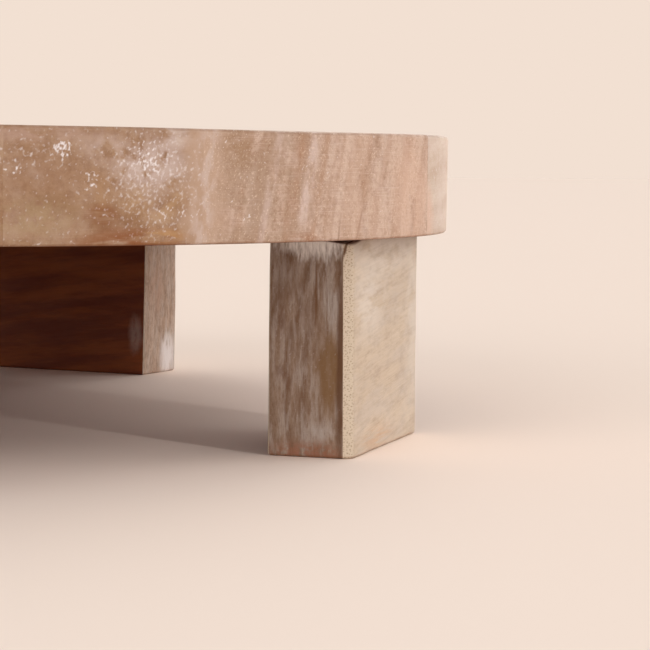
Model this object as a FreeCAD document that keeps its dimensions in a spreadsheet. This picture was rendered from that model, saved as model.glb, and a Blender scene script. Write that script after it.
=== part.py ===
import FreeCAD, Part
import math
import os
import Sketcher

# Low round tray table: six boards glued edge to edge into a thick, hand-cut round top,
# carried by four tapered plank legs that are each held by two fluted dowels.
# Frame: origin on the floor under the middle of the top, +Z up, the front faces -Y.

# Driving dimensions: millimetres, and degrees for the one angle
SIZES = (
    # Top
    ("top_radius", "260"),
    ("top_thickness", "38"),
    ("top_upper_round", "2"),
    ("top_lower_chamfer", "1"),
    # Legs
    ("leg_height", "80"),
    ("leg_inset", "31"),
    ("leg_angle", "48.8"),
    ("leg_foot_width", "87"),
    ("leg_head_width", "89"),
    ("leg_foot_thickness", "32.5"),
    ("leg_head_thickness", "31.5"),
    ("leg_edge_round", "2.5"),
    ("leg_head_chamfer", "1"),
    # Dowels
    ("dowel_diameter", "10"),
    ("dowel_spacing", "44"),
    ("dowel_leg_depth", "22"),
    ("dowel_top_depth", "20"),
    ("dowel_end_gap", "1"),
    ("dowel_fit", "0.1"),
    ("flute_depth", "0.6"),
    # How far every cutting shape runs past what it cuts
    ("cut_overrun", "20"),
)
FLUTE_COUNT = 6

# Hand-cut rim as a chain of tangent arcs over half a turn, counter-clockwise from the front:
# each arc's radius as a share of top_radius, and its sweep as a share of half a turn.
# The other half repeats the chain, so the top stays centred on the origin.
RIM_ARC_SHARES = (
    (1.03, 0.12),
    (1.00, 0.11),
    (0.77, 0.10),
    (1.26, 0.15),
    (0.83, 0.17),
    (1.12, 0.18),
    (0.89, 0.17),
)

# Boards from left to right, each between two lines across X: the glue lines lie at these shares
# of top_radius, and the outer boards run past the rim
INNER_SEAM_SHARE = 0.27
OUTER_SEAM_SHARE = 0.72
INNER_SEAM = f"({INNER_SEAM_SHARE} * sizes.top_radius)"
OUTER_SEAM = f"({OUTER_SEAM_SHARE} * sizes.top_radius)"
TOP_REACH = "(sizes.top_radius + sizes.cut_overrun)"
BOARD_SPANS = (
    ("left_edge_board", "-" + TOP_REACH, "-" + OUTER_SEAM),
    ("left_board", "-" + OUTER_SEAM, "-" + INNER_SEAM),
    ("left_middle_board", "-" + INNER_SEAM, "0"),
    ("right_middle_board", "0", INNER_SEAM),
    ("right_board", INNER_SEAM, OUTER_SEAM),
    ("right_edge_board", OUTER_SEAM, TOP_REACH),
)

# Corners of the table: name, and the signs of X and Y
CORNERS = (
    ("front_right", 1, -1),
    ("front_left", -1, -1),
    ("rear_right", 1, 1),
    ("rear_left", -1, 1),
)

# Distance of a leg's middle from the table's middle, along X and along Y: the legs stand on the
# diagonals, inset from the rim
LEG_PLACE = "((sizes.top_radius - sizes.leg_inset) * sqrt(0.5))"

# Places of the two dowels along a leg's head, as shares of dowel_spacing from the leg's middle
DOWEL_PLACE_SHARES = (("outer", 0.5), ("inner", -0.5))

UP = FreeCAD.Vector(0, 0, 1)
ACROSS = FreeCAD.Vector(1, 0, 0)
QUARTER_TURN = 90
FULL_TURN = 360


def make_sheet(doc):
    """Spreadsheet of the driving dimensions."""
    sheet = doc.addObject("Spreadsheet::Sheet", "sizes")
    for row, (alias, value) in enumerate(SIZES, start=1):
        sheet.set(f"A{row}", alias)
        sheet.set(f"B{row}", value)
        sheet.setAlias(f"B{row}", alias)
    doc.recompute()
    return sheet


def bind(obj, expressions):
    """Bind each named property of an object to its expression."""
    for name, expression in expressions.items():
        obj.setExpression(name, expression)


def origin_feature(body, role):
    """Plane or axis of a body's own origin, by its role."""
    return next(feature for feature in body.Origin.OriginFeatures if feature.Role == role)


def edges_at(shape, place):
    """Numbers of a shape's edges at its lower end, its upper end or upright between them."""
    middle = shape.BoundBox.Center.z
    numbers = []
    for number, edge in enumerate(shape.Edges, start=1):
        heights = [vertex.Z for vertex in edge.Vertexes]
        if min(heights) > middle:
            found = "upper"
        elif max(heights) < middle:
            found = "lower"
        else:
            found = "upright"
        if found == place:
            numbers.append(number)
    return numbers


def edge_names(shape, *places):
    """Names of the edges at one or more places of a shape."""
    return [f"Edge{number}" for place in places for number in edges_at(shape, place)]


def sketch_across(body, name, height="0"):
    """Sketch in a body's XY plane, raised to a height."""
    sketch = body.newObject("Sketcher::SketchObject", name)
    sketch.AttachmentSupport = [(origin_feature(body, "XY_Plane"), "")]
    sketch.MapMode = "FlatFace"
    sketch.setExpression("AttachmentOffset.Base.z", height)
    return sketch


def add_size(sketch, constraint, expression):
    """Add a sketch dimension and bind it to an expression."""
    index = sketch.addConstraint(constraint)
    sketch.setExpression(f"Constraints[{index}]", expression)


def draw_middle_circle(sketch, radius):
    """Circle about the sketch's origin, with its radius bound."""
    size = sketch.evalExpression(radius)
    circle = sketch.addGeometry(Part.Circle(FreeCAD.Vector(), UP, size), False)
    sketch.addConstraint(Sketcher.Constraint("Coincident", circle, 3, -1, 1))
    add_size(sketch, Sketcher.Constraint("Radius", circle, size), radius)


def draw_side_circle(sketch, sign, distance, radius):
    """Circle on one side of the sketch's X axis, with its distance and radius bound."""
    place = sketch.evalExpression(distance)
    size = sketch.evalExpression(radius)
    middle = FreeCAD.Vector(sign * place, 0, 0)
    circle = sketch.addGeometry(Part.Circle(middle, UP, size), False)
    sketch.addConstraint(Sketcher.Constraint("PointOnObject", circle, 3, -1))
    ends = (-1, 1, circle, 3) if sign > 0 else (circle, 3, -1, 1)
    add_size(sketch, Sketcher.Constraint("DistanceX", *ends, place), distance)
    add_size(sketch, Sketcher.Constraint("Radius", circle, size), radius)


def draw_groove(sketch, radius, depth):
    """Square V cut into a round rod of the given radius, pointing at the sketch's origin."""
    rod = sketch.evalExpression(radius)
    cut = sketch.evalExpression(depth)
    root = FreeCAD.Vector(rod - cut, 0, 0)
    lower = FreeCAD.Vector(rod + cut, -2 * cut, 0)
    upper = FreeCAD.Vector(rod + cut, 2 * cut, 0)
    for start, end in ((root, lower), (lower, upper), (upper, root)):
        sketch.addGeometry(Part.LineSegment(start, end), False)
    for side in range(3):
        sketch.addConstraint(Sketcher.Constraint("Coincident", side, 2, (side + 1) % 3, 1))
    sketch.addConstraint(Sketcher.Constraint("Symmetric", 1, 1, 1, 2, -1))
    add_size(sketch, Sketcher.Constraint("DistanceX", -1, 1, 0, 1, rod - cut), f"{radius} - {depth}")
    add_size(sketch, Sketcher.Constraint("DistanceX", -1, 1, 1, 1, rod + cut), f"{radius} + {depth}")
    add_size(sketch, Sketcher.Constraint("DistanceY", 1, 1, 1, 2, 4 * cut), f"4 * {depth}")
    sketch.addConstraint(Sketcher.Constraint("PointOnObject", 0, 1, -1))


def add_pocket(doc, body, sketch, depth):
    """Blind pocket under a sketch, with its depth bound; it has to take material away."""
    before = body.Shape.Volume
    pocket = body.newObject("PartDesign::Pocket", sketch.Name + "_pocket")
    pocket.Profile = sketch
    pocket.setExpression("Length", depth)
    doc.recompute()
    if not pocket.Shape.Volume < before:
        raise RuntimeError(f"{pocket.Name} cut nothing")
    return pocket


def dowel_place(side_x, side_y, share):
    """Expressions for the middle of one dowel in plan."""
    along = f"{share} * sizes.dowel_spacing"
    return {
        "Placement.Base.x": f"{side_x} * ({LEG_PLACE} + {along} * cos(sizes.leg_angle))",
        "Placement.Base.y": f"{side_y} * ({LEG_PLACE} - {along} * sin(sizes.leg_angle))",
    }


def rim_points(radius):
    """Start, middle and end of every arc of the rim in plan, about the middle of the top."""
    place = FreeCAD.Vector()
    heading = 0
    arcs = []
    for radius_share, sweep_share in RIM_ARC_SHARES:
        size = radius * radius_share
        sweep = math.pi * sweep_share
        centre = place + FreeCAD.Vector(-math.sin(heading), math.cos(heading), 0) * size
        arc = []
        for turned in (0, sweep / 2, sweep):
            outward = FreeCAD.Vector(math.sin(heading + turned), -math.cos(heading + turned), 0)
            arc.append(centre + outward * size)
        arcs.append(arc)
        place = arc[-1]
        heading += sweep
    middle = place / 2
    front_to_back = [[point - middle for point in arc] for arc in arcs]
    back_to_front = [[point * -1 for point in arc] for arc in front_to_back]
    return front_to_back + back_to_front


def make_top_blank(doc, sheet):
    """Whole top before it is parted: hand-cut outline, raised to its thickness, both rims eased."""
    arcs = [Part.Arc(*arc).toShape() for arc in rim_points(sheet.top_radius)]
    outline = doc.addObject("Part::Feature", "top_outline")
    outline.Shape = Part.Face(Part.Wire(arcs))
    outline.setExpression("Placement.Base.z", "sizes.leg_height")

    slab = doc.addObject("Part::Extrusion", "top_slab")
    slab.Base = outline
    slab.DirMode = "Custom"
    slab.Dir = UP
    slab.Solid = True
    slab.setExpression("LengthFwd", "sizes.top_thickness")
    doc.recompute()

    base = slab
    eases = (
        ("Part::Chamfer", "lower", sheet.top_lower_chamfer),
        ("Part::Fillet", "upper", sheet.top_upper_round),
    )
    for kind, place, size in eases:
        ease = doc.addObject(kind, f"top_{place}_ease")
        ease.Base = base
        ease.Edges = [(number, size, size) for number in edges_at(base.Shape, place)]
        doc.recompute()
        base = ease
    return base


def make_dowel_holes(doc):
    """One tool for all blind dowel holes in the underside of the top."""
    drills = []
    for corner, side_x, side_y in CORNERS:
        for place, share in DOWEL_PLACE_SHARES:
            drill = doc.addObject("Part::Cylinder", f"{corner}_drill_{place}")
            bind(drill, dowel_place(side_x, side_y, share))
            bind(drill, {
                "Radius": "sizes.dowel_diameter / 2 + sizes.dowel_fit",
                "Height": "sizes.dowel_top_depth + sizes.cut_overrun",
                "Placement.Base.z": "sizes.leg_height - sizes.cut_overrun",
            })
            drills.append(drill)
    holes = doc.addObject("Part::Compound", "dowel_holes")
    holes.Links = drills
    return holes


def make_boards(doc, blank, holes):
    """Boards of the top: the blank between two glue lines, less the dowel holes."""
    boards = []
    for name, low, high in BOARD_SPANS:
        strip = doc.addObject("Part::Box", name + "_strip")
        bind(strip, {
            "Length": f"({high}) - ({low})",
            "Width": f"2 * {TOP_REACH}",
            "Height": "sizes.top_thickness + 2 * sizes.cut_overrun",
            "Placement.Base.x": low,
            "Placement.Base.y": "-" + TOP_REACH,
            "Placement.Base.z": "sizes.leg_height - sizes.cut_overrun",
        })
        sawn = doc.addObject("Part::Common", name + "_sawn")
        sawn.Base = blank
        sawn.Tool = strip
        board = doc.addObject("Part::Cut", name)
        board.Base = sawn
        board.Tool = holes
        boards.append(board)
    return boards


def make_leg(doc, corner, side_x, side_y):
    """Plank leg: tapered block, eased edges, two dowel holes in its head."""
    body = doc.addObject("PartDesign::Body", corner + "_leg")
    block = body.newObject("PartDesign::AdditiveWedge", corner + "_block")
    block.AttachmentSupport = [(origin_feature(body, "XY_Plane"), "")]
    block.MapMode = "FlatFace"
    block.AttachmentOffset = FreeCAD.Placement(FreeCAD.Vector(), FreeCAD.Rotation(ACROSS, QUARTER_TURN))
    bind(block, {
        "Xmin": "-sizes.leg_foot_width / 2",
        "Xmax": "sizes.leg_foot_width / 2",
        "Zmin": "-sizes.leg_foot_thickness / 2",
        "Zmax": "sizes.leg_foot_thickness / 2",
        "Ymin": "0",
        "Ymax": "sizes.leg_height",
        "X2min": "-sizes.leg_head_width / 2",
        "X2max": "sizes.leg_head_width / 2",
        "Z2min": "-sizes.leg_head_thickness / 2",
        "Z2max": "sizes.leg_head_thickness / 2",
    })
    doc.recompute()

    rounds = body.newObject("PartDesign::Fillet", corner + "_rounds")
    rounds.Base = (block, edge_names(block.Shape, "upright", "lower"))
    rounds.setExpression("Radius", "sizes.leg_edge_round")
    doc.recompute()

    head = body.newObject("PartDesign::Chamfer", corner + "_head")
    head.Base = (rounds, edge_names(rounds.Shape, "upper"))
    head.setExpression("Size", "sizes.leg_head_chamfer")
    doc.recompute()

    holes = sketch_across(body, corner + "_dowel_holes", "sizes.leg_height")
    for _, share in DOWEL_PLACE_SHARES:
        sign = math.copysign(1, share)
        distance = f"{abs(share)} * sizes.dowel_spacing"
        draw_side_circle(holes, sign, distance, "sizes.dowel_diameter / 2 + sizes.dowel_fit")
    add_pocket(doc, body, holes, "sizes.dowel_leg_depth")

    body.Placement = FreeCAD.Placement(FreeCAD.Vector(), FreeCAD.Rotation(UP, 0))
    bind(body, {
        "Placement.Base.x": f"{side_x} * {LEG_PLACE}",
        "Placement.Base.y": f"{side_y} * {LEG_PLACE}",
        "Placement.Rotation.Angle": f"{-side_x * side_y} * sizes.leg_angle",
    })
    return body


def make_dowel(doc, name, side_x, side_y, share):
    """Fluted dowel, standing half in a leg and half in the top."""
    body = doc.addObject("PartDesign::Body", name)
    section = sketch_across(body, name + "_section")
    draw_middle_circle(section, "sizes.dowel_diameter / 2")
    rod = body.newObject("PartDesign::Pad", name + "_rod")
    rod.Profile = section
    rod.setExpression("Length", "sizes.dowel_leg_depth + sizes.dowel_top_depth - 2 * sizes.dowel_end_gap")
    doc.recompute()

    flute_sketch = sketch_across(body, name + "_flute", "sizes.dowel_leg_depth + sizes.dowel_top_depth")
    draw_groove(flute_sketch, "sizes.dowel_diameter / 2", "sizes.flute_depth")
    flute = add_pocket(doc, body, flute_sketch, "sizes.dowel_leg_depth + sizes.dowel_top_depth")
    flutes = body.newObject("PartDesign::PolarPattern", name + "_flutes")
    flutes.Originals = [flute]
    flutes.Axis = (origin_feature(body, "Z_Axis"), [""])
    flutes.Angle = FULL_TURN
    flutes.Occurrences = FLUTE_COUNT
    body.Tip = flutes
    bind(body, dowel_place(side_x, side_y, share))
    body.setExpression("Placement.Base.z", "sizes.leg_height - sizes.dowel_leg_depth + sizes.dowel_end_gap")
    return body


def check_document(doc, pieces):
    """Stop if any object failed, or a piece isn't one valid solid."""
    for obj in doc.Objects:
        if "Invalid" in obj.State or "Error" in obj.State:
            raise RuntimeError(f"{obj.Name} failed: {obj.State}")
    for piece in pieces:
        shape = piece.Shape
        if shape.isNull() or not shape.isValid() or len(shape.Solids) != 1:
            raise RuntimeError(f"{piece.Label} isn't one valid solid")


def main():
    """Build the document, check it and write one file for each piece."""
    doc = FreeCAD.newDocument("tray_table")
    sheet = make_sheet(doc)
    pieces = make_boards(doc, make_top_blank(doc, sheet), make_dowel_holes(doc))
    for corner, side_x, side_y in CORNERS:
        pieces.append(make_leg(doc, corner, side_x, side_y))
        for place, share in DOWEL_PLACE_SHARES:
            pieces.append(make_dowel(doc, f"{corner}_dowel_{place}", side_x, side_y, share))
    doc.recompute()
    check_document(doc, pieces)
    os.makedirs("parts", exist_ok=True)
    for piece in pieces:
        piece.Shape.exportStep(f"parts/{piece.Label}.step")
        print(f"{piece.Label}: {piece.Shape.Volume:.1f} mm3")


main()
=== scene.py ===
"""Looks of a low round tray table: six glued boards with a hand-cut rim, on four plank legs.

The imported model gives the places. Lengths are metres in the meshes and millimetres in the finishes.
"""
import logging
import math
from dataclasses import dataclass
from enum import Enum

import bmesh
import bpy
from mathutils import Matrix, Vector, noise


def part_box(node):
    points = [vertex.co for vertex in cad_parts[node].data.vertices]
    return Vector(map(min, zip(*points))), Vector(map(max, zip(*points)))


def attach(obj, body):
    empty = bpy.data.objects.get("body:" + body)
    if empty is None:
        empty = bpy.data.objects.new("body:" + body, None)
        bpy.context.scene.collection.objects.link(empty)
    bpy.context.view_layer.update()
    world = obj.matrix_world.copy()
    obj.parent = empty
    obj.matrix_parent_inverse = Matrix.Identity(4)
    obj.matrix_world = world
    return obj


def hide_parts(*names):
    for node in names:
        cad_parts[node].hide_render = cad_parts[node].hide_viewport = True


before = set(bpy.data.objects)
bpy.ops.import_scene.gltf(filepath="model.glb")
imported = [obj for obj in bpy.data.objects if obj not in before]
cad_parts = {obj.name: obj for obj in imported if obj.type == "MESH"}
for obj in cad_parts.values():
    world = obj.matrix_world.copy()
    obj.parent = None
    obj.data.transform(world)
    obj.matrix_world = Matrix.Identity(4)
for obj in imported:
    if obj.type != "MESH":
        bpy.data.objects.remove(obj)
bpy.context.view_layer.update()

BODY = "root"
MM = 0.001
PHOTO_PIXELS = 650
LOG = logging.getLogger("tray_table")

Triple = tuple[float, float, float]
Tone = tuple[float, float, float, float]
Mask = bpy.types.NodeSocket
Feed = float | tuple | Mask
Mesh = bmesh.types.BMesh
Edge = bmesh.types.BMEdge


def tone(red: int, green: int, blue: int) -> Tone:
    """Linear colour of a tone.

    Args:
        red: Red on the screen, from 0 to 255.
        green: Green, likewise.
        blue: Blue, likewise.

    Returns:
        The colour that a shader's socket takes.
    """
    shares = (value / 255 for value in (red, green, blue))
    linear = (s / 12.92 if s <= 0.04045 else ((s + 0.055) / 1.055) ** 2.4 for s in shares)
    return (*linear, 1.0)


class Corner(Enum):
    """Corners of the table, as the signs of X and Y."""

    FRONT_RIGHT = (1, -1)
    FRONT_LEFT = (-1, -1)
    REAR_RIGHT = (1, 1)
    REAR_LEFT = (-1, 1)

    @property
    def word(self) -> str:
        """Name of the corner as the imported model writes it."""
        return self.name.lower()


class Slot(Enum):
    """Material slots of the record."""

    TOP = "top_wood"
    LEG = "leg_wood"
    DOWEL = "dowel_wood"


class Bench:
    """Node tree of a material or world, with short calls for the nodes that are used."""

    def __init__(self, owner: bpy.types.Material | bpy.types.World) -> None:
        """Open the node tree.

        Args:
            owner: New material or world.
        """
        owner.use_nodes = True
        self.owner = owner
        self.nodes = owner.node_tree.nodes
        self.links = owner.node_tree.links

    def paint(self, feeds: dict[str, Feed]) -> None:
        """Feed named inputs of a material's shader."""
        for name, value in feeds.items():
            self.feed(self.nodes["Principled BSDF"].inputs[name], value)

    def feed(self, socket: Mask, value: Feed) -> None:
        """Link a socket to another, or set its value.

        Args:
            socket: Input that is fed.
            value: Output to link, or a plain value.
        """
        if isinstance(value, Mask):
            self.links.new(value, socket)
        else:
            socket.default_value = value

    def node(self, kind: str, feeds: dict[str | int, Feed], **settings: object) -> bpy.types.Node:
        """Add a node.

        Args:
            kind: Type name of the node.
            feeds: What each named or numbered input takes.
            settings: Properties of the node.

        Returns:
            The new node.
        """
        made = self.nodes.new(kind)
        for key, value in settings.items():
            setattr(made, key, value)
        for key, value in feeds.items():
            self.feed(made.inputs[key], value)
        return made

    def maths(self, operation: str, first: Feed, second: Feed = 0.0) -> Mask:
        """Number worked out from one or two others."""
        return self.node("ShaderNodeMath", {0: first, 1: second}, operation=operation).outputs[0]

    def vector(self, operation: str, first: Feed, second: Feed = (0, 0, 0)) -> Mask:
        """Vector, or its number for a length or dot product, worked out from one or two others."""
        made = self.node("ShaderNodeVectorMath", {0: first, 1: second}, operation=operation)
        return made.outputs["Value" if operation in ("LENGTH", "DOT_PRODUCT") else "Vector"]

    def rise(self, value: Feed, low: Feed, high: Feed) -> Mask:
        """Smooth step from 0 at low to 1 at high; high may be the smaller."""
        feeds = {"Value": value, "From Min": low, "From Max": high}
        return self.node("ShaderNodeMapRange", feeds, interpolation_type="SMOOTHSTEP").outputs[0]

    def times(self, *values: Feed) -> Feed:
        """Product of several numbers.

        Args:
            values: Outputs or numbers.

        Returns:
            Their product.
        """
        product = values[0]
        for value in values[1:]:
            product = self.maths("MULTIPLY", product, value)
        return product

    def blend(self, share: Feed, first: Feed, second: Feed) -> Mask:
        """Mix of two colours.

        Args:
            share: Share of the second colour.
            first: Colour at a share of 0.
            second: Colour at a share of 1.

        Returns:
            The mixed colour.
        """
        made = self.node("ShaderNodeMix", {}, data_type="RGBA")
        for index, value in ((0, share), (6, first), (7, second)):
            self.feed(made.inputs[index], value)
        return made.outputs[2]

    def cloud(self, place: Feed, turns: float | Triple, detail: float = 3.0, rough: float = 0.55) -> Mask:
        """Noise from 0 to 1 about a half.

        Args:
            place: Place in millimetres.
            turns: Turns of the noise to the millimetre, for all axes or for each.
            detail: How many finer layers are added.
            rough: Strength of each layer against the one before.

        Returns:
            The noise.
        """
        if isinstance(turns, tuple):
            place = self.vector("MULTIPLY", place, turns)
            turns = 1.0
        feeds = {"Vector": place, "Scale": turns, "Detail": detail, "Roughness": rough}
        return self.node("ShaderNodeTexNoise", feeds).outputs[0]

    def stripes(self, place: Feed, turns: float, detail: float, rough: float) -> Mask:
        """Noise along one number, from 0 to 1 about a half."""
        feeds = {"W": place, "Scale": turns, "Detail": detail, "Roughness": rough}
        return self.node("ShaderNodeTexNoise", feeds, noise_dimensions="1D").outputs[0]

    def turned(self, place: Feed, degrees: Triple) -> Mask:
        """Place turned about the axes."""
        feeds = {"Vector": place, "Rotation": tuple(math.radians(angle) for angle in degrees)}
        return self.node("ShaderNodeMapping", feeds).outputs[0]

    def dots(self, pattern: Feed, cell: float) -> tuple[Mask, Mask]:
        """Uneven dots on a cut across the grain, which run on as lines along it.

        Args:
            pattern: Place that the noise reads, with the grain along Y.
            cell: Mean distance between dots.

        Returns:
            Distance from the nearest dot in cells, and a chance that goes with that dot.
        """
        drawn = self.vector("MULTIPLY", pattern, (1.0, 0.06, 1.0))
        shake = self.node("ShaderNodeTexNoise", {"Vector": drawn, "Scale": 0.9 / cell}).outputs["Color"]
        moved = self.vector("ADD", pattern, self.vector("MULTIPLY", shake, (cell,) * 3))
        across = self.node("ShaderNodeSeparateXYZ", {0: moved}).outputs
        flat = self.node("ShaderNodeCombineXYZ", {"X": across["X"], "Y": across["Z"]}).outputs[0]
        feeds = {"Vector": flat, "Scale": 1 / cell}
        cells = self.node("ShaderNodeTexVoronoi", feeds, voronoi_dimensions="2D")
        chances = self.node("ShaderNodeSeparateColor", {0: cells.outputs["Color"]}).outputs
        return cells.outputs["Distance"], chances[0]

    def millimetres(self) -> Mask:
        """Place on the table in millimetres."""
        place = self.node("ShaderNodeTexCoord", {}).outputs["Object"]
        return self.vector("MULTIPLY", place, (1 / MM,) * 3)

    def facing(self, way: Triple) -> Mask:
        """How far the surface faces one way, from -1 to 1."""
        return self.vector("DOT_PRODUCT", self.node("ShaderNodeNewGeometry", {}).outputs["Normal"], way)


@dataclass(frozen=True)
class Zone:
    """Soft-edged round zone of a piece, in millimetres of the piece's own frame.

    A lean slides the zone along X as it goes up.
    """

    middle: Triple
    reach: Triple
    lean: float = 0.0

    EDGE = (1.0, 0.3)

    def mask(self, coat: "Coat", rough: Feed) -> Mask:
        """Share of the zone at each place.

        Args:
            coat: Node tree of the finish.
            rough: What makes the zone's edge uneven.

        Returns:
            1 inside the zone and 0 outside.
        """
        offset = coat.vector("SUBTRACT", coat.place, self.middle)
        if self.lean:
            height = coat.node("ShaderNodeSeparateXYZ", {0: offset}).outputs["Z"]
            slide = coat.node("ShaderNodeCombineXYZ", {"X": coat.times(height, self.lean)}).outputs[0]
            offset = coat.vector("SUBTRACT", offset, slide)
        reach = coat.vector("LENGTH", coat.vector("DIVIDE", offset, self.reach))
        return coat.rise(coat.maths("ADD", reach, rough), *self.EDGE)


@dataclass(frozen=True)
class Stain:
    """Zone where the wood takes another tone, broken up by noise."""

    zone: Zone
    tone: Tone
    share: float = 0.6
    turns: Triple = (0.25, 0.25, 0.25)
    cover: tuple[float, float] = (0.35, 0.6)

    def lay(self, coat: "Coat", under: Feed, where: Feed = 1.0) -> Mask:
        """Lay the stain over a colour.

        Args:
            coat: Node tree of the finish.
            under: Colour under the stain.
            where: Mask of the faces that take it.

        Returns:
            The colour with the stain on it.
        """
        broken = coat.cloud(coat.place, self.turns, 3.0, 0.6)
        inside = self.zone.mask(coat, coat.maths("SUBTRACT", broken, 0.5))
        share = coat.times(inside, coat.rise(broken, *self.cover), self.share, where)
        return coat.blend(share, under, self.tone)


@dataclass(frozen=True)
class Flecks:
    """White filler that stayed in pores and small hollows."""

    cell: float
    cover: float
    share: float = 0.8
    drift: float = 0.35
    softness: float = 0.14
    colour: Tone = tone(224, 213, 211)
    clusters: tuple[tuple[Zone, float], ...] = ()

    LEAN = 36.0
    SQUASH = 0.8
    STRETCH = 0.06
    BARE_LEVEL = 0.74
    COVER_GAIN = 0.26
    DASH = 0.7

    def mask(self, coat: "Coat") -> Mask:
        """Share of white at each place.

        Args:
            coat: Node tree of the finish.

        Returns:
            Mask of the flecks: dots on the end grain, broken dashes along it.
        """
        patchy = coat.maths("SUBTRACT", coat.cloud(coat.pattern, 0.05, 3.0, 0.6), 0.5)
        cover = coat.maths("ADD", self.cover, coat.times(patchy, 2 * self.drift))
        for zone, gain in self.clusters:
            cover = coat.maths("ADD", cover, coat.times(zone.mask(coat, patchy), gain))
        turns = (1 / self.cell, self.STRETCH / self.cell, self.SQUASH / self.cell)
        grain = coat.cloud(coat.turned(coat.pattern, (0, -self.LEAN, 0)), turns, 1.0, 0.5)
        level = coat.maths("SUBTRACT", self.BARE_LEVEL, coat.times(cover, self.COVER_GAIN))
        dots = coat.rise(grain, level, coat.maths("ADD", level, self.softness))
        short = self.DASH / self.cell
        dashes = coat.rise(coat.cloud(coat.pattern, (short, 0.05, short)), 0.5, 0.65)
        return coat.times(dots, coat.maths("MAXIMUM", coat.ends, dashes), self.share)


@dataclass(frozen=True)
class WoodFinish:
    """Sanded and whitewashed wood with growth rings, pores, haze and wear, and painted shade on inner faces.

    The pattern is solid: rings lie round a pith that runs along the grain, so that the ends, edges and
    faces of a piece agree. Lengths are millimetres in the piece's own frame, whose Y is the grain.
    """

    name: str
    side: tuple[Tone, Tone]
    end: tuple[Tone, Tone]
    middle: Triple = (0.0, 0.0, 0.0)
    turn: float = 0.0
    tilt: float = 0.0
    seed: Triple = (0.0, 0.0, 0.0)
    pith: tuple[float, float] = (0.0, -200.0)
    ring: float = 9.0
    wander: float = 8.0
    line_share: float = 0.25
    tint: Tone = tone(150, 98, 70)
    tint_share: float = 0.35
    wash: Tone = tone(206, 188, 178)
    wash_share: float = 0.5
    end_wash_turns: Triple = (0.06, 0.06, 0.06)
    side_wash_turns: Triple = (0.22, 0.014, 0.22)
    side_mottle: float = 0.3
    end_mottle: float = 0.3
    mottle_turns: Triple = (0.35, 0.03, 0.35)
    fibre_share: float = 0.3
    sand_share: float = 0.2
    flecks: tuple[Flecks, ...] = ()
    end_from: tuple[float, float] = (0.35, 0.6)
    pore_share: float = 0.05
    eased: Tone = tone(214, 196, 174)
    eased_share: float = 0.0
    eased_pore_share: float = 0.0
    eased_way: Triple = (0.0, 0.0, 0.0)
    # Faces turned this way take the dark tones below: painted shade on the underside and on the legs' inner
    # sides.
    dark_way: Triple = (0.0, 0.0, -1.0)
    dark: tuple[Tone, Tone] = (tone(92, 32, 9), tone(112, 50, 18))
    rubbed: Tone = tone(130, 92, 66)
    rubbed_share: float = 0.35
    stains: tuple[Stain, ...] = ()
    end_stains: tuple[Stain, ...] = ()
    smears: tuple[Stain, ...] = ()

    PORE = tone(116, 82, 54)
    PORE_CELL = 0.85

    def make(self) -> bpy.types.Material:
        """Material of the finish."""
        return Coat(self).lay()


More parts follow.
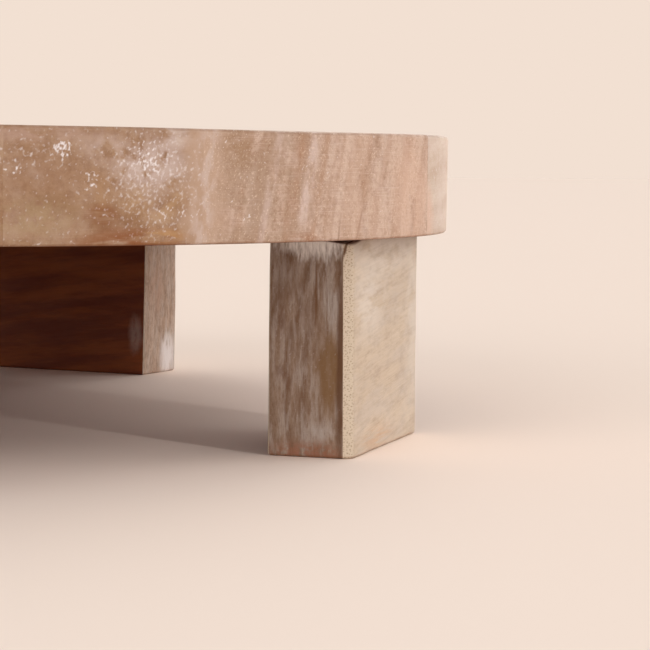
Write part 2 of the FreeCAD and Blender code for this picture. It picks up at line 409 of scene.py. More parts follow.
class Coat(Bench):
    """Node tree of one wood finish, with the masks that its layers share.

    Each pair of numbers gives where a mask starts and where it is full.
    """

    LEAST_UPRIGHT = 0.3
    FIBRE_TURNS = (0.9, 0.0405, 0.9)
    SAND_TURNS = (0.06, 0.06, 4.5)
    SAND_SEEN = (0.52, 0.7)
    UPRIGHT = (0.7, 0.3)
    INWARD = (0.8, 0.97)
    OUTWARD = (0.3, 0.6)
    EASED_FROM = (0.15, 0.78)
    EASED_TO = (0.94, 0.88)
    ARRIS_FROM = (0.12, 0.45)
    ARRIS_TO = (0.97, 0.8)
    WASH_SEEN = (0.38, 0.68)
    DULL = 0.55
    HAZE_DULL = 0.2
    FIBRE_DULL = 0.15
    SHINE = 0.2
    PORE_DEPTH = 0.15
    SAND_HEIGHT = 0.35

    def __init__(self, wood: WoodFinish) -> None:
        """Start the material and work out the masks.

        Args:
            wood: Finish that is laid.
        """
        super().__init__(bpy.data.materials.new(wood.name))
        self.wood = wood
        offset = self.vector("SUBTRACT", self.millimetres(), wood.middle)
        self.place = self.turned(offset, (0, 0, wood.turn))
        self.pattern = self.turned(self.vector("ADD", self.place, wood.seed), (wood.tilt, 0, 0))
        angle = math.radians(90 - wood.turn)
        along = self.maths("ABSOLUTE", self.facing((math.cos(angle), math.sin(angle), 0.0)))
        self.level = self.maths("ABSOLUTE", self.facing((0, 0, 1)))
        sideways = self.maths("SQRT", self.maths("SUBTRACT", 1.0, self.times(self.level, self.level)))
        upright = self.maths("MAXIMUM", sideways, self.LEAST_UPRIGHT)
        self.across = self.maths("DIVIDE", along, upright)
        self.ends = self.rise(self.across, *wood.end_from)
        # Painted shade: mask of the faces turned in under the table, or down on the underside.
        inside = self.facing(wood.dark_way)
        if not wood.dark_way[2]:
            inside = self.maths("DIVIDE", inside, upright)
        self.dark = self.rise(inside, *self.INWARD)
        self.fibre = self.cloud(self.pattern, self.FIBRE_TURNS, 3.0, 0.6)
        self.sand = self.cloud(self.pattern, self.SAND_TURNS, 2.0, 0.6)

    def lay(self) -> bpy.types.Material:
        """Lay every layer of the finish.

        Returns:
            The finished material.
        """
        wood = self.wood
        bands, lines = self.rings()
        haze = self.haze()
        colour = self.blend(self.times(haze, wood.wash_share), self.ground(bands, lines), wood.wash)
        sanded = self.times(self.rise(self.sand, *self.SAND_SEEN), self.rise(self.level, *self.UPRIGHT))
        colour = self.blend(self.times(sanded, wood.sand_share), colour, wood.wash)
        outer = self.rise(self.facing(wood.eased_way), *self.OUTWARD)
        corner = self.times(self.rise(self.across, *self.EASED_FROM), self.rise(self.across, *self.EASED_TO))
        eased = self.times(corner, outer)
        colour = self.blend(self.times(eased, wood.eased_share), colour, wood.eased)
        for stain in wood.stains:
            colour = stain.lay(self, colour)
        for stain in wood.end_stains:
            colour = stain.lay(self, colour, self.ends)

        pores = self.pores()
        open_share = self.maths("ADD", wood.pore_share, self.times(eased, wood.eased_pore_share))
        colour = self.blend(self.times(pores, open_share), colour, wood.PORE)
        for flecks in wood.flecks:
            colour = self.blend(flecks.mask(self), colour, flecks.colour)
        colour = self.wear(colour)
        for smear in wood.smears:
            colour = smear.lay(self, colour)

        matt = self.maths("ADD", self.DULL, self.times(haze, self.HAZE_DULL))
        dull = self.maths("ADD", matt, self.times(self.fibre, self.FIBRE_DULL))
        self.paint({"Base Color": colour, "Roughness": dull, "Specular IOR Level": self.SHINE})
        grooves = ((pores, -self.PORE_DEPTH), (self.fibre, wood.fibre_share))
        self.relief((*grooves, (self.sand, self.SAND_HEIGHT), (lines, -wood.line_share)))
        return self.owner

    def rings(self) -> tuple[Mask, Mask]:
        """Growth rings.

        Returns:
            Share of the deep tone in the broad bands, and the thin dark lines.
        """
        across, height = self.wood.pith
        offset = self.vector("SUBTRACT", self.pattern, (across, 0.0, height))
        distance = self.vector("LENGTH", self.vector("MULTIPLY", offset, (1, 0, 1)))
        sway = self.maths("SUBTRACT", self.cloud(self.pattern, (0.03, 0.008, 0.03), 3.0, 0.5), 0.5)
        swayed = self.maths("ADD", distance, self.times(sway, 2 * self.wood.wander))
        depth = self.maths("DIVIDE", swayed, self.wood.ring)
        bands = self.rise(self.stripes(depth, 1.0, 4.0, 0.55), 0.32, 0.68)
        second = self.stripes(self.maths("ADD", depth, 71.0), 1.3, 1.0, 0.5)
        thin = self.rise(self.maths("ABSOLUTE", self.maths("SUBTRACT", second, 0.5)), 0.03, 0.0)
        return bands, thin

    def ground(self, bands: Feed, lines: Feed) -> Mask:
        """Bare wood under the wash.

        Args:
            bands: Broad growth rings.
            lines: Thin growth rings.

        Returns:
            The wood's colour.
        """
        wood = self.wood
        colour = self.blend(self.ends, self.blend(bands, *wood.side), self.blend(bands, *wood.end))
        blotch = self.rise(self.cloud(self.pattern, (0.05, 0.02, 0.06), 4.0, 0.6), 0.48, 0.7)
        mottle = self.rise(self.cloud(self.pattern, wood.mottle_turns, 4.0, 0.7), 0.42, 0.68)
        more = self.times(self.ends, wood.end_mottle - wood.side_mottle)
        tinted = (
            (blotch, wood.tint_share),
            (mottle, self.maths("ADD", wood.side_mottle, more)),
            (self.rise(self.fibre, 0.45, 0.75), wood.fibre_share),
            (lines, wood.line_share))
        for mask, share in tinted:
            colour = self.blend(self.times(mask, share), colour, wood.tint)
        return colour

    def haze(self) -> Mask:
        """Whitewash: strokes along the grain on the sides, and its own pattern on the ends.

        Returns:
            Share of the wash.
        """
        side, end = (
            self.rise(self.cloud(self.pattern, turns, 4.0, 0.65), *self.WASH_SEEN)
            for turns in (self.wood.side_wash_turns, self.wood.end_wash_turns))
        sides = self.maths("SUBTRACT", 1.0, self.ends)
        return self.maths("ADD", self.times(end, self.ends), self.times(side, sides))

    def pores(self) -> Mask:
        """Open pores: dots on an end, lines along the grain.

        Returns:
            Mask of the pores.
        """
        distance, chance = self.dots(self.pattern, self.wood.PORE_CELL)
        radius = self.maths("ADD", 0.25, self.times(chance, 0.28))
        return self.rise(distance, radius, self.times(radius, 0.1))

    def wear(self, colour: Feed) -> Mask:
        """Rub the arrises darker, and paint shade on the faces turned in under the table.

        Args:
            colour: Colour so far.

        Returns:
            The worn colour, with its painted shade.
        """
        wood = self.wood
        arris = self.times(self.rise(self.level, *self.ARRIS_FROM), self.rise(self.level, *self.ARRIS_TO))
        patchy = self.rise(self.cloud(self.pattern, 0.15), 0.35, 0.6)
        colour = self.blend(self.times(arris, patchy, wood.rubbed_share), colour, wood.rubbed)
        # Painted shade, uneven between its two dark tones, on the faces turned in under the table.
        uneven = self.rise(self.cloud(self.pattern, (0.12, 0.015, 0.12), 4.0, 0.6), 0.35, 0.7)
        return self.blend(self.times(self.dark, 0.96), colour, self.blend(uneven, *wood.dark))

    def relief(self, parts: tuple[tuple[Feed, float], ...]) -> None:
        """Raise and sink the surface.

        Args:
            parts: Masks, each with its height.
        """
        height: Feed = 0.0
        for mask, rise in parts:
            height = self.maths("ADD", height, self.times(mask, rise))
        bump = self.node("ShaderNodeBump", {"Height": height, "Strength": 0.5, "Distance": 0.35 * MM})
        self.paint({"Normal": bump.outputs["Normal"]})


@dataclass
class Board:
    """One board of the top: the strip of the round slab between two glue lines."""

    node: str
    left: float
    right: float
    finish: WoodFinish


@dataclass
class RoundTop:
    """Top of six boards, glued edge to edge and cut round by hand."""

    boards: list[Board]
    radius: float = 260 * MM
    thickness: float = 38 * MM
    underside: float = 80 * MM
    upper_round: float = 1.2 * MM
    lower_round: float = 1.0 * MM
    rim_step: float = 3.0 * MM
    row_step: float = 4.0 * MM
    rim_band: float = 14 * MM
    wobble: float = 0.3 * MM
    wobble_length: float = 34 * MM
    hollow_at: float = -63.5
    hollow_reach: float = 9.0
    hollow_depth: float = 0.5 * MM
    rim_arc_shares: tuple[tuple[float, float], ...] = (
        (1.03, 0.12), (1.00, 0.11), (0.77, 0.10), (1.26, 0.15), (0.83, 0.17), (1.12, 0.18), (0.89, 0.17))

    def build(self) -> list[bpy.types.Object]:
        """Build and dress every board.

        Returns:
            The boards' objects.
        """
        outline = self.trace()
        pieces = []
        for board in self.boards:
            shape = outline.copy()
            self.saw(shape, board)
            self.raise_slab(shape)
            self.ease(shape)
            pieces.append(finish_piece(board.node, shape, board.finish))
        outline.free()
        return pieces

    def trace(self) -> Mesh:
        """Draw the rim as a chain of tangent arcs and fill it.

        Returns:
            A mesh of one flat face, at the height of the underside.
        """
        shape = bmesh.new()
        first = bmesh.ops.create_vert(shape, co=(0, 0, self.underside))["vert"][0]
        last = first
        heading = 0.0
        for radius_share, sweep_share in self.rim_arc_shares:
            size = self.radius * radius_share
            sweep = math.pi * sweep_share
            centre = last.co + size * Vector((-math.sin(heading), math.cos(heading), 0))
            steps = max(2, round(size * sweep / self.rim_step))
            arc = bmesh.ops.spin(shape, geom=[last], cent=centre, axis=(0, 0, 1), angle=sweep, steps=steps)
            last = next(item for item in arc["geom_last"] if isinstance(item, bmesh.types.BMVert))
            heading += sweep
        middle = (first.co + last.co) / 2
        bmesh.ops.translate(shape, verts=shape.verts[:], vec=(-middle.x, -middle.y, 0))
        half = shape.verts[:] + shape.edges[:]
        copied = bmesh.ops.duplicate(shape, geom=half)["geom"]
        turned = [item for item in copied if isinstance(item, bmesh.types.BMVert)]
        bmesh.ops.rotate(shape, verts=turned, cent=(0, 0, 0), matrix=Matrix.Rotation(math.pi, 3, "Z"))
        bmesh.ops.remove_doubles(shape, verts=shape.verts[:], dist=0.01 * MM)
        bmesh.ops.contextual_create(shape, geom=shape.edges[:])
        return shape

    def saw(self, shape: Mesh, board: Board) -> None:
        """Cut the outline down to one board.

        Args:
            shape: Mesh of the whole outline.
            board: Board to keep.
        """
        for place, way in ((board.left, -1), (board.right, 1)):
            if abs(place) < self.radius:
                cut(shape, (place, 0, 0), (way, 0, 0), clear_outer=True)

    def raise_slab(self, shape: Mesh) -> None:
        """Raise a board to its thickness, round its rim and cut rows into the rim.

        Args:
            shape: Mesh of the flat board.
        """
        under = [edge for edge in shape.edges if self.on_rim(edge)]
        upper = bmesh.ops.extrude_face_region(shape, geom=shape.faces[:])["geom"]
        raised = [item for item in upper if isinstance(item, bmesh.types.BMVert)]
        bmesh.ops.translate(shape, verts=raised, vec=(0, 0, self.thickness))
        bmesh.ops.recalc_face_normals(shape, faces=shape.faces[:])
        halfway = self.underside + self.thickness / 2
        over = [edge for edge in shape.edges if self.on_rim(edge) and edge.verts[0].co.z > halfway]
        round_edges(shape, over, self.upper_round, 4)
        round_edges(shape, under, self.lower_round, 3)
        rows = int(self.thickness / self.row_step)
        for row in range(1, rows):
            cut(shape, (0, 0, self.underside + row * self.thickness / rows), (0, 0, 1))

    def on_rim(self, edge: Edge) -> bool:
        """Tell whether a level edge lies on the rim rather than along a glue line."""
        first, second = (vert.co for vert in edge.verts)
        return abs(first.z - second.z) < 0.1 * MM and (first - second).length < 2 * self.rim_step

    def ease(self, shape: Mesh) -> None:
        """Make the rim wander in and out and hollow its upper edge, as hand sanding leaves it.

        Args:
            shape: Mesh of the board.
        """
        for vert in shape.verts:
            flat = Vector((vert.co.x, vert.co.y, 0))
            if self.radius - flat.length < self.rim_band:
                push = noise.noise(vert.co / self.wobble_length) * self.wobble
                away = (math.degrees(math.atan2(flat.y, flat.x)) - self.hollow_at) / self.hollow_reach
                height = (vert.co.z - self.underside) / self.thickness
                vert.co += flat.normalized() * push
                vert.co.z -= self.hollow_depth * math.exp(-away * away) * height ** 4


@dataclass
class PlankLeg:
    """Plank leg: tapered block with sanded edges, its grain running along its width."""

    corner: Corner
    finish: WoodFinish
    angle: float = 48.8
    foot_width: float = 87 * MM
    head_width: float = 89 * MM
    foot_thickness: float = 32.5 * MM
    head_thickness: float = 31.5 * MM
    corner_cut: float = 2.4 * MM
    end_cut: float = 3.7 * MM
    inner_round: float = 1.0 * MM
    end_round: float = 0.5 * MM
    face_round: float = 1.2 * MM
    foot_round: float = 1.4 * MM
    head_round: float = 0.8 * MM
    head_drop: float = 2.2 * MM
    head_drop_reach: float = 16 * MM
    square_on: float = 0.95
    row_step: float = 5.0 * MM
    wobble: float = 0.3 * MM
    wobble_length: float = 22 * MM

    def build(self) -> bpy.types.Object:
        """Build and dress the leg.

        Returns:
            The leg's object.
        """
        node = self.corner.word + "_leg"
        low, high = (Vector(end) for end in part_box(node))
        height = high.z - low.z
        shape = bmesh.new()
        bmesh.ops.create_cube(shape, size=1.0)
        ends = ((1, self.head_width, self.head_thickness), (-1, self.foot_width, self.foot_thickness))
        for side, width, depth in ends:
            verts = [vert for vert in shape.verts if vert.co.z * side > 0]
            bmesh.ops.scale(shape, verts=verts, vec=(width, depth, height))
        self.soften(shape, height)
        self.sand(shape, height)
        bmesh.ops.translate(shape, verts=shape.verts[:], vec=(0, 0, height / 2))
        turn = Matrix.Rotation(math.radians(leg_turn(self.corner)), 3, "Z")
        bmesh.ops.rotate(shape, verts=shape.verts[:], cent=(0, 0, 0), matrix=turn)
        middle = (low + high) / 2
        bmesh.ops.translate(shape, verts=shape.verts[:], vec=(middle.x, middle.y, low.z))
        return finish_piece(node, shape, self.finish)

    def soften(self, shape: Mesh, height: float) -> None:
        """Plane off one outer corner, further on the end than on the wide face, and round the other edges.

        Args:
            shape: Mesh of the tapered block, about its own middle.
            height: Height of the leg.
        """
        _, outer = self.planed_corner()
        plain = [edge for edge in self.upright(shape, height) if not self.at_planed(edge.verts[0].co)]
        round_edges(shape, plain, self.inner_round, 3)
        planed = [edge for edge in self.upright(shape, height) if self.at_planed(edge.verts[0].co)]
        round_edges(shape, [edge for edge in planed if edge.calc_face_angle() > 1.0], self.corner_cut, 1)
        shape.normal_update()
        for vert in shape.verts:
            if self.at_planed(vert.co) and any(abs(face.normal.x) > 0.9 for face in vert.link_faces):
                vert.co.y -= outer * (self.end_cut - self.corner_cut)
        cut_edges = [edge for edge in self.upright(shape, height) if self.at_planed(edge.verts[0].co)]
        end_edges, face_edges = (
            [edge for edge in cut_edges
             if any(abs(face.normal[axis]) > self.square_on for face in edge.link_faces)]
            for axis in (0, 1))
        round_edges(shape, end_edges, self.end_round, 2)
        round_edges(shape, [edge for edge in face_edges if edge.is_valid], self.face_round, 3)
        for side, size, segments in ((-1, self.foot_round, 4), (1, self.head_round, 2)):
            level = side * height / 2
            edges = [edge for edge in shape.edges if all(abs(v.co.z - level) < 0.1 * MM for v in edge.verts)]
            round_edges(shape, edges, size, segments)

    def planed_corner(self) -> tuple[int, int]:
        """Signs of the block's own X and Y at the outer corner that is nearest the front or the back."""
        sign_x, sign_y = self.corner.value
        return -sign_x, sign_y

    def at_planed(self, place: Vector) -> bool:
        """Tell whether a place lies in the quarter of the block that holds the planed corner."""
        along, outer = self.planed_corner()
        return place.x * along > 0 and place.y * outer > 0

    @staticmethod
    def upright(shape: Mesh, height: float) -> list[Edge]:
        """Edges that run the whole height of the leg."""
        shape.normal_update()
        return [edge for edge in shape.edges if abs(edge.verts[0].co.z - edge.verts[1].co.z) > height / 2]

    def sand(self, shape: Mesh, height: float) -> None:
        """Cut rows into the faces, let them wander as hand sanding does, and wear the planed corner's head.

        Args:
            shape: Mesh of the leg, about its own middle.
            height: Height of the leg.
        """
        for axis, length in enumerate((self.foot_width, self.foot_thickness, height)):
            normal = Vector([float(index == axis) for index in range(3)])
            rows = int(length / self.row_step)
            for row in range(1, rows):
                cut(shape, normal * (row / rows - 0.5) * length, normal)
        shape.normal_update()
        seed = Vector((*self.corner.value, 0)) * 3.7
        limit = height / 2 - 0.1 * MM
        along, outer = self.planed_corner()
        tip = Vector((along * self.head_width / 2, outer * self.head_thickness / 2))
        for vert in shape.verts:
            if abs(vert.co.z) < limit:
                vert.co += vert.normal * noise.noise(vert.co / self.wobble_length + seed) * self.wobble
            if vert.co.z > limit - self.head_round:
                near = max(0.0, 1 - (vert.co.xy - tip).length / self.head_drop_reach)
                vert.co.z -= self.head_drop * near


def cut(shape: Mesh, place: Vector | Triple, normal: Vector | Triple,
        clear_outer: bool = False) -> None:
    """Cut a mesh along a plane.

    Args:
        shape: Mesh to cut.
        place: Point of the plane.
        normal: Way that the plane faces.
        clear_outer: Whether to take away what lies beyond the plane.
    """
    geom = shape.verts[:] + shape.edges[:] + shape.faces[:]
    bmesh.ops.bisect_plane(shape, geom=geom, plane_co=place, plane_no=normal, clear_outer=clear_outer)


def round_edges(shape: Mesh, edges: list[Edge], size: float, segments: int) -> None:
    """Round some edges of a mesh.

    Args:
        shape: Mesh that holds them.
        edges: Edges to round.
        size: How far from the edge the round starts.
        segments: How many facets it has.
    """
    bmesh.ops.bevel(shape, geom=edges, offset=size, offset_type="OFFSET", segments=segments, profile=0.5,
                    affect="EDGES", material=-1)


def finish_piece(node: str, shape: Mesh, finish: WoodFinish) -> bpy.types.Object:
    """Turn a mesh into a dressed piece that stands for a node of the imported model.

    Args:
        node: Node that it replaces.
        shape: Its mesh, which is freed.
        finish: Its finish.

    Returns:
        The piece's object.
    """
    bmesh.ops.remove_doubles(shape, verts=shape.verts[:], dist=0.002 * MM)
    bmesh.ops.recalc_face_normals(shape, faces=shape.faces[:])
    name = node + "_piece"
    mesh = bpy.data.meshes.new(name)
    shape.to_mesh(mesh)
    shape.free()
    mesh.shade_smooth()
    mesh.set_sharp_from_angle(angle=math.radians(40))
    piece = bpy.data.objects.new(name, mesh)
    bpy.context.scene.collection.objects.link(piece)
    piece.modifiers.new("even_shading", "WEIGHTED_NORMAL").keep_sharp = True
    mesh.materials.append(finish.make())
    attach(piece, BODY)
    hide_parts(node)
    return piece


@dataclass
class Dowels:
    """Fluted dowels, two to a leg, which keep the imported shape."""

    finish: WoodFinish
    places: tuple[str, str] = ("outer", "inner")

    def dress(self) -> list[str]:
        """Give every dowel the finish.

        Returns:
            Names of the dowels.
        """
        material = self.finish.make()
        names = [f"{corner.word}_dowel_{place}" for corner in Corner for place in self.places]
        for name in names:
            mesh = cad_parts[name].data
            mesh.materials.clear()
            mesh.materials.append(material)
        return names


@dataclass(frozen=True)
class Lamp:
    """Soft lamp, far away, with the angle round from the right and the angle above the floor in degrees."""

    name: str
    strength: float
    around: float
    above: float
    spread: float = 45.0

    def hang(self) -> None:
        """Hang the lamp so that it shines on the table."""
        light = bpy.data.lights.new(self.name, "SUN")
        light.energy = self.strength
        light.angle = math.radians(self.spread)
        lamp = bpy.data.objects.new(self.name, light)
        lamp.rotation_euler = (math.radians(90 - self.above), 0, math.radians(90 + self.around))
        bpy.context.scene.collection.objects.link(lamp)


@dataclass(frozen=True)
class Slit:
    """Tall narrow lamp, far away, which gives the shadows of the legs a firm edge."""

    strength: float = 53000.0
    around: float = -69.5
    distance: float = 120.0
    width: float = 4.8
    height: float = 100.0

    def hang(self) -> None:
        """Stand the lamp on the floor's level so that it shines on the table."""
        light = bpy.data.lights.new("slit", "AREA")
        light.shape = "RECTANGLE"
        light.size = self.width
        light.size_y = self.height
        light.energy = self.strength
        lamp = bpy.data.objects.new("slit", light)
        turn = Matrix.Rotation(math.radians(self.around), 3, "Z")
        lamp.location = turn @ Vector((self.distance, 0, self.height / 2))
        lamp.rotation_euler = (math.radians(90), 0, math.radians(90 + self.around))
        bpy.context.scene.collection.objects.link(lamp)


@dataclass
class Studio:
    """Pale floor, a window at the right, a tall slit in front, bright walls, and the photograph's camera."""

    floor_reach: float = 12.0
    floor_tone: Tone = tone(246, 227, 213)
    back_tone: Tone = tone(242, 224, 210)
    sky_tone: Tone = (1.0, 1.0, 1.0, 1.0)
    sky_strength: float = 0.41
    lamps: tuple[Lamp | Slit, ...] = (
        Lamp("window", 0.6, -30.0, 44.0, 52.0), Lamp("right_wall", 0.5, 0.0, 20.0),
        Lamp("back_wall", 1.55, 45.0, 20.0), Lamp("front_wall", 0.35, -100.0, 4.0),
        Lamp("left_wall", 1.05, -145.0, 18.0), Slit())
    camera_place: Triple = (-192.1 * MM, -945.6 * MM, 108.45 * MM)
    camera_yaw: float = 23.79
    camera_tilt: float = 4.19
    camera_roll: float = 0.66
    focal_pixels: float = 2264.4

    def build(self) -> None:
        """Set up the floor, the light and the camera."""
        self.lay_floor()
        self.light()
        self.aim()
        bpy.context.scene.view_settings.view_transform = "Standard"

    def lay_floor(self) -> None:
        """Lay a wide plain floor."""
        shape = bmesh.new()
        bmesh.ops.create_grid(shape, x_segments=1, y_segments=1, size=self.floor_reach)
        mesh = bpy.data.meshes.new("floor")
        shape.to_mesh(mesh)
        shape.free()
        floor = bpy.data.objects.new("floor", mesh)
        bpy.context.scene.collection.objects.link(floor)
        bench = Bench(bpy.data.materials.new("floor_paint"))
        bench.paint({"Base Color": self.floor_tone, "Roughness": 0.9, "Specular IOR Level": 0.0})
        mesh.materials.append(bench.owner)

    def light(self) -> None:
        """Hang the lamps, set an even sky and show the back tone behind the table."""
        for lamp in self.lamps:
            lamp.hang()
        bench = Bench(bpy.data.worlds.new("studio"))
        bpy.context.scene.world = bench.owner
        sky = bench.node("ShaderNodeBackground", {"Color": self.sky_tone, "Strength": self.sky_strength})
        back = bench.node("ShaderNodeBackground", {"Color": self.back_tone})
        rays = bench.node("ShaderNodeLightPath", {}).outputs
        seen = rays["Is Camera Ray"]
        for kind in ("Is Glossy Ray", "Is Transmission Ray"):
            seen = bench.maths("MAXIMUM", seen, rays[kind])
        choice = bench.node("ShaderNodeMixShader", {0: seen, 1: sky.outputs[0], 2: back.outputs[0]})
        bench.feed(bench.nodes["World Output"].inputs["Surface"], choice.outputs[0])

    def aim(self) -> None:
        """Place the camera where the photograph was taken from."""
        lens = bpy.data.cameras.new("camera")
        lens.lens = self.focal_pixels / PHOTO_PIXELS * lens.sensor_width
        lens.clip_start = 0.01
        camera = bpy.data.objects.new("camera", lens)
        bpy.context.scene.collection.objects.link(camera)
        turns = ((-self.camera_yaw, "Z"), (90 - self.camera_tilt, "X"), (self.camera_roll, "Z"))
        camera.matrix_world = Matrix.Translation(self.camera_place)
        for angle, axis in turns:
            camera.matrix_world = camera.matrix_world @ Matrix.Rotation(math.radians(angle), 4, axis)
        bpy.context.scene.camera = camera


def speckled_board(name: str, pith: tuple[float, float], seed: Triple) -> WoodFinish:
    """Finish of a board beside the middle: mottled end grain full of white filler.

    Args:
        name: Name of the finish.
        pith: Place of the pith across and up.
        seed: Offset of the pattern, so that no two boards have the same.

    Returns:
        The finish.
    """
    stippled = (
        (Zone((52, -256, 100), (28, 14, 26)), 0.55),
        (Zone((14, -260, 109), (22, 14, 10)), 0.3),
    )
    clusters = (
        (Zone((18.9, -260, 110.6), (6, 14, 4.6)), 1.1),
        (Zone((50, -256, 108), (15, 14, 11)), 0.7),
        (Zone((49, -256, 106.5), (6.5, 14, 7)), 0.4),
        (Zone((29.2, -259, 101), (4, 14, 6.5)), 0.9),
        (Zone((4, -261, 103.6), (6, 14, 2.6)), 0.9),
        (Zone((60, -254, 90), (12, 14, 4)), 0.8),
    )
    lilac = tone(196, 176, 168)
    stains = (
        Stain(Zone((43, -257, 81), (32, 24, 7.5)), tone(130, 78, 44), 0.9, (0.05, 0.05, 0.4)),
        Stain(Zone((33, -258, 90), (9, 24, 5.5)), tone(128, 80, 48), 0.85, (0.08, 0.08, 0.4)),
        Stain(Zone((33, -258, 97), (5, 24, 12)), tone(154, 114, 74), 0.5, (0.1, 0.1, 0.1)),
        Stain(Zone((56, -255, 83), (13, 24, 3.5)), tone(178, 132, 80), 0.55, (0.08, 0.08, 0.5)),
        Stain(Zone((52, -256, 94), (16, 24, 9)), tone(186, 152, 114), 0.5, (0.12, 0.12, 0.12)),
        Stain(Zone((10, -260, 89), (24, 24, 10)), tone(158, 132, 100), 0.6),
        Stain(Zone((14, -260, 103), (24, 24, 9)), tone(138, 100, 72), 0.5, (0.12, 0.12, 0.12)),
        Stain(Zone((8, -261, 116), (34, 24, 5)), tone(176, 146, 130), 0.6, (0.1, 0.1, 0.2)),
        Stain(Zone((34, -258, 111), (12, 24, 8)), lilac, 0.4, (0.15, 0.15, 0.15)),
        Stain(Zone((60, -253, 115), (14, 24, 6)), tone(206, 188, 180), 0.6, (0.1, 0.1, 0.2)),
        Stain(Zone((51, -256, 106), (22, 24, 12)), lilac, 0.7, (0.2, 0.2, 0.2)),
        *seam_stains(),
    )
    return WoodFinish(
        name=name, side=(tone(196, 164, 138), tone(170, 134, 106)),
        end=(tone(163, 131, 104), tone(145, 109, 80)), pith=pith, seed=seed, ring=16, wander=20,
        line_share=0, tint=tone(122, 83, 56), tint_share=0.35, end_mottle=0.45, wash_share=0.3,
        wash=tone(186, 162, 147), end_wash_turns=(0.1, 0.1, 0.1), sand_share=0.05, stains=stains,
        flecks=(Flecks(1.1, 0.5, 0.5, 0.5, 0.3, clusters=stippled),
                Flecks(1.1, 0, 0.95, 0.3, 0.26, clusters=clusters)))


def seam_stains() -> tuple[Stain, ...]:
    """Wash that runs over the seam between the speckled and the banded board.

    Returns:
        Stains that both boards take.
    """
    beside = Stain(Zone((70.5, -250, 99), (11, 24, 60)), tone(180, 150, 128), 0.8,
                   (0.2, 0.2, 0.15), (0.1, 0.4))
    on_it = Stain(Zone((71, -250, 99), (7, 24, 60), 0.1), tone(198, 178, 170), 0.55,
                  (0.3, 0.3, 0.15), (0.4, 0.65))
    return beside, on_it


def banded_board() -> WoodFinish:
    """Finish of the next board to the right: upright leaning bands and fine sanding lines.

    Returns:
        The finish.
    """
    lilac = (tone(204, 182, 174), 0.15)
    brown = (tone(162, 120, 90), 0.2)
    bands = (
        (98, -243, 3, 0.4, lilac), (115, -234, 3.6, 0.6, lilac), (109, -237, 3, 0.4, brown),
        (121, -231, 1.8, 0.5, brown), (143, -217, 3.6, 0.35, brown))
    clusters = (
        (Zone((97, -243, 109), (4, 14, 4)), 0.35),
        (Zone((116, -234, 109), (6, 14, 6)), 0.3),
        (Zone((90, -246, 89), (7, 14, 4)), 0.35),
        (Zone((124, -230, 98), (9, 14, 18)), 0.12),
    )
    stains = (
        Stain(Zone((95, -244, 99), (42, 40, 60)), tone(152, 124, 100), 0.5, (0.1, 0.1, 0.1)),
        *seam_stains(),
        Stain(Zone((84, -248, 112), (10, 24, 13)), tone(148, 114, 84), 0.65),
        *(Stain(Zone((across, depth, 99), (wide, 24, 60), 0.22), shade, share, (turns, turns, 0.08))
          for across, depth, wide, share, (shade, turns) in bands),
        Stain(Zone((141, -218, 84), (0.8, 24, 10), 0.3), tone(134, 92, 66), 0.6,
              (0.2, 0.2, 0.3), (0.2, 0.4)),
        Stain(Zone((130.5, -224, 82), (0.7, 24, 7), 0.1), tone(124, 88, 66), 0.6,
              (0.2, 0.2, 0.3), (0.2, 0.4)),
        Stain(Zone((115, -234, 81.5), (12, 24, 3)), tone(150, 104, 76), 0.6),
        Stain(Zone((150, -212, 99), (44, 60, 60)), tone(210, 180, 160), 0.35, (0.1, 0.1, 0.05)),
        Stain(Zone((176, -191, 96), (24, 34, 32)), tone(204, 167, 144), 0.5, (0.1, 0.1, 0.05), (0.2, 0.5)),
        Stain(Zone((187, 0, 108), (0.6, 400, 14)), tone(110, 84, 66), 0.7, (0.1, 0.1, 0.1)),
    )
    return WoodFinish(
        name="banded_board", side=(tone(204, 176, 152), tone(180, 146, 120)),
        end=(tone(190, 162, 143), tone(170, 137, 114)), pith=(400, 38), ring=7, wander=3.5,
        line_share=0.12, tint=tone(140, 102, 76), tint_share=0.2, end_mottle=0.7,
        mottle_turns=(0.6, 0.03, 0.6), wash_share=0.35, wash=tone(206, 184, 172),
        end_wash_turns=(0.12, 0.12, 0.06), sand_share=0.45, stains=stains,
        flecks=(Flecks(0.62, 0.65, 0.45, 0.4, 0.24, colour=tone(228, 204, 184)),
                Flecks(1.1, 0.05, 0.7, 0.3, 0.14, clusters=clusters)))


def grey_board() -> WoodFinish:
    """Finish of the outer board on the right: paler and greyer, its paleness partly painted light.

    Returns:
        The finish.
    """
    glue = Stain(Zone((187.4, 0, 108), (0.5, 400, 14)), tone(120, 94, 76), 0.6, (0.1, 0.1, 0.1))
    run_over = Stain(Zone((188, -180, 88), (7, 60, 17)), tone(202, 168, 147), 0.75,
                     (0.1, 0.1, 0.05), (0.1, 0.35))
    return WoodFinish(
        name="grey_board", side=(tone(204, 182, 162), tone(184, 158, 136)),
        end=(tone(200, 182, 166), tone(184, 162, 144)), pith=(230, -140), ring=9, wash_share=0.5,
        tint=tone(176, 140, 114), tint_share=0.2, line_share=0.1, stains=(run_over, glue),
        flecks=(Flecks(1.2, 0.3, 0.4),))


def plain_board(name: str, pith: tuple[float, float]) -> WoodFinish:
    """Finish of a board at the left, between the speckled and the banded one.

    Args:
        name: Name of the finish.
        pith: Place of the pith across and up.

    Returns:
        The finish.
    """
    return WoodFinish(
        name=name, side=(tone(200, 170, 146), tone(174, 138, 112)),
        end=(tone(184, 150, 124), tone(162, 124, 98)), pith=pith, ring=9, tint_share=0.3, wash_share=0.4,
        flecks=(Flecks(1.4, 0.4, 0.4), Flecks(1.7, 0.1, 0.8)))


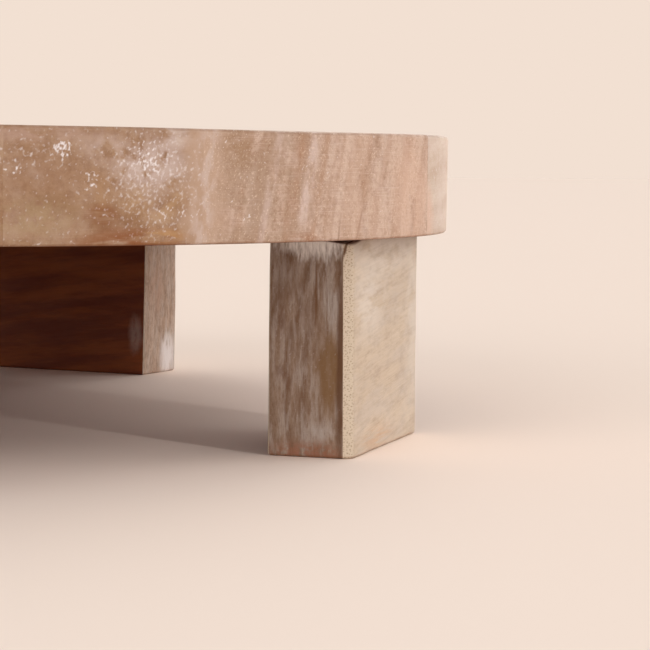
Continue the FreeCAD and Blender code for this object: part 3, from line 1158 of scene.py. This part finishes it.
def board_finishes() -> dict[str, WoodFinish]:
    """Finishes of the six boards, from left to right.

    Returns:
        A finish for each board's node.
    """
    # The front boards grow paler to the right: partly their own tones, partly painted light as the rim turns
    # to the window.
    return {
        "left_edge_board": plain_board("left_edge_wood", (-260, -90)),
        "left_board": plain_board("left_wood", (-420, 150)),
        "left_middle_board": speckled_board("left_middle_wood", (-40, -120), (83, 19, 7)),
        "right_middle_board": speckled_board("right_middle_wood", (30, -400), (0, 0, 0)),
        "right_board": banded_board(),
        "right_edge_board": grey_board(),
    }


def leg_turn(corner: Corner) -> float:
    """Angle of a leg's width from the X axis, in degrees."""
    sign_x, sign_y = corner.value
    return -sign_x * sign_y * PlankLeg.angle


def leg_finish(corner: Corner) -> WoodFinish:
    """Finish of one leg: pale along the grain, dark on its ends, painted shade on the side turned inwards.

    Args:
        corner: Corner that the leg stands at.

    Returns:
        The leg's finish.
    """
    low, high = (Vector(end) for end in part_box(corner.word + "_leg"))
    middle = (low + high) / 2 / MM
    sign_x, sign_y = corner.value
    turn = 90 - leg_turn(corner)
    outward = (Matrix.Rotation(math.radians(turn), 3, "Z") @ Vector((sign_x, sign_y, 0))).x
    out = math.copysign(1, outward)
    deep = 400
    rear_stains = (
        Stain(Zone((out * 8, 0, 8), (10, deep, 16)), tone(226, 216, 212), 0.9, (0.3, 0.3, 0.1), (0.2, 0.45)),
        Stain(Zone((out * -4, 0, 42), (9, deep, 22)), tone(172, 134, 112), 0.5, (0.2, 0.2, 0.06)),
    )
    smears = (
        Stain(Zone((out * -16, 39, 20), (3, 5, 12)), tone(170, 146, 136), 0.55, (0.2, 0.2, 0.1), (0.2, 0.5)),
    )
    front_stains = (
        Stain(Zone((out * -6, 0, 56), (12, deep, 24)), tone(112, 84, 66), 0.5, (0.3, 0.3, 0.1)),
        # Whitewash band at the head, painted near white: also painted light against the shade of the top
        # above it.
        Stain(Zone((out * 1.5, 0, 82), (20, deep, 12)), tone(248, 240, 232), 1,
              (0.9, 0.9, 0.2), (0.05, 0.2)),
        Stain(Zone((out * 7.5, 0, 55), (4, deep, 14)), tone(178, 168, 160), 0.65, (0.9, 0.9, 0.07)),
        *(Stain(Zone((out * across, 0, up), (wide, deep, high)), tone(106, 74, 56), 0.6, (0.6, 0.6, 0.25))
          for across, up, wide, high in ((-11.5, 50, 4, 9), (-11, 32, 4, 6), (-8, 27, 2, 5))),
        Stain(Zone((out * 2.2, 0, 62), (0.8, deep, 16)), tone(104, 70, 44), 0.8,
              (0.5, 0.5, 0.1), (0.3, 0.5)),
        Stain(Zone((out * 8, 0, 31), (8, deep, 19)), tone(118, 86, 54), 0.85, (0.2, 0.2, 0.08), (0.15, 0.4)),
        Stain(Zone((out * 4, 0, 9), (11, deep, 6)), tone(172, 158, 148), 0.6, (0.4, 0.4, 0.15)),
        Stain(Zone((0, 0, 0), (26, deep, 9)), tone(142, 90, 66), 0.8, (0.5, 0.5, 0.5)),
        Stain(Zone((out * 11.6, 0, 36), (2.2, deep, 60)), tone(88, 56, 34), 0.85,
              (0.4, 0.4, 0.08), (0.15, 0.4)),
    )
    stains = (
        Stain(Zone((out * 16, -10, 5), (2, 30, 7)), tone(196, 154, 118), 0.5, (0.1, 0.04, 0.5)),
        # Pale wash along the top of the wide face, also painted light against the shade of the top above it.
        Stain(Zone((out * 16, 0, 76), (2, 60, 16)), tone(218, 206, 194), 0.6, (0.2, 0.06, 0.2)),
        Stain(Zone((out * 16, -22, 56), (2, 30, 20)), tone(216, 206, 196), 0.45, (0.2, 0.06, 0.2)),
        Stain(Zone((out * 16, 38, 44), (2, 16, 50)), tone(208, 196, 184), 0.5, (0.1, 0.06, 0.1)),
        Stain(Zone((out * 12.9, 0, 76.5), (0.7, deep, 5.5), out * 0.2), tone(96, 60, 34), 0.9,
              cover=(0, 0.2)),
    )
    inward = Vector((-sign_x, -sign_y, 0)).normalized()
    # The front legs' ends take darker tones than the rear legs' ends: painted shade on the ends that face
    # the front.
    shaded_front_end = (tone(140, 115, 96), tone(116, 88, 68))
    rear_end = (tone(189, 162, 142), tone(169, 139, 117))
    in_front = sign_y < 0
    return WoodFinish(
        name=corner.word + "_leg_wood", side=(tone(199, 180, 159), tone(190, 169, 146)),
        end=shaded_front_end if in_front else rear_end, middle=(middle.x, middle.y, 0), turn=turn, tilt=-6,
        seed=(61 * sign_x, 47 * sign_y, 0), pith=(180, 30), ring=5, wander=5, line_share=0.05,
        tint=tone(106, 74, 52), tint_share=0.08, side_mottle=0.22, end_mottle=0.6,
        mottle_turns=(1, 0.08, 0.3), fibre_share=0.14, wash=tone(190, 177, 167), wash_share=0.45,
        end_wash_turns=(0.45, 0.45, 0.07), side_wash_turns=(0.12, 0.03, 0.12), sand_share=0.03,
        end_from=(0.9, 0.96), pore_share=0.04, eased=tone(204, 186, 164), eased_share=0.85,
        eased_pore_share=0.5, eased_way=(0, sign_y, 0), dark_way=tuple(inward),
        # Painted shade on the side turned inwards, under the table.
        dark=(tone(90, 27, 0), tone(124, 58, 12)), stains=stains,
        end_stains=front_stains if in_front else rear_stains, smears=() if in_front else smears,
        flecks=(Flecks(0.9, 0.3, 0.12),))


def main() -> None:
    """Build the table and the studio, and report every piece."""
    logging.basicConfig(level=logging.INFO, format="%(name)s: %(message)s")
    finishes = board_finishes()
    seams = [-1.0, -0.72, -0.27, 0.0, 0.27, 0.72, 1.0]
    boards = [
        Board(node, left * RoundTop.radius, right * RoundTop.radius, finishes[node])
        for node, left, right in zip(finishes, seams, seams[1:])]
    legs = [PlankLeg(corner, leg_finish(corner)) for corner in Corner]
    for piece in RoundTop(boards).build() + [leg.build() for leg in legs]:
        LOG.info("%s: %d faces", piece.name, len(piece.data.polygons))
    dowel_tones = (tone(214, 188, 152), tone(192, 160, 122))
    dowel_wood = WoodFinish(
        name=Slot.DOWEL.value, side=dowel_tones, end=dowel_tones, wash_share=0.1, dark_way=(0.0, 0.0, 0.0))
    for name in Dowels(dowel_wood).dress():
        LOG.info("%s: packed shape, dressed", name)
    Studio().build()


if __name__ == "__main__":
    main()
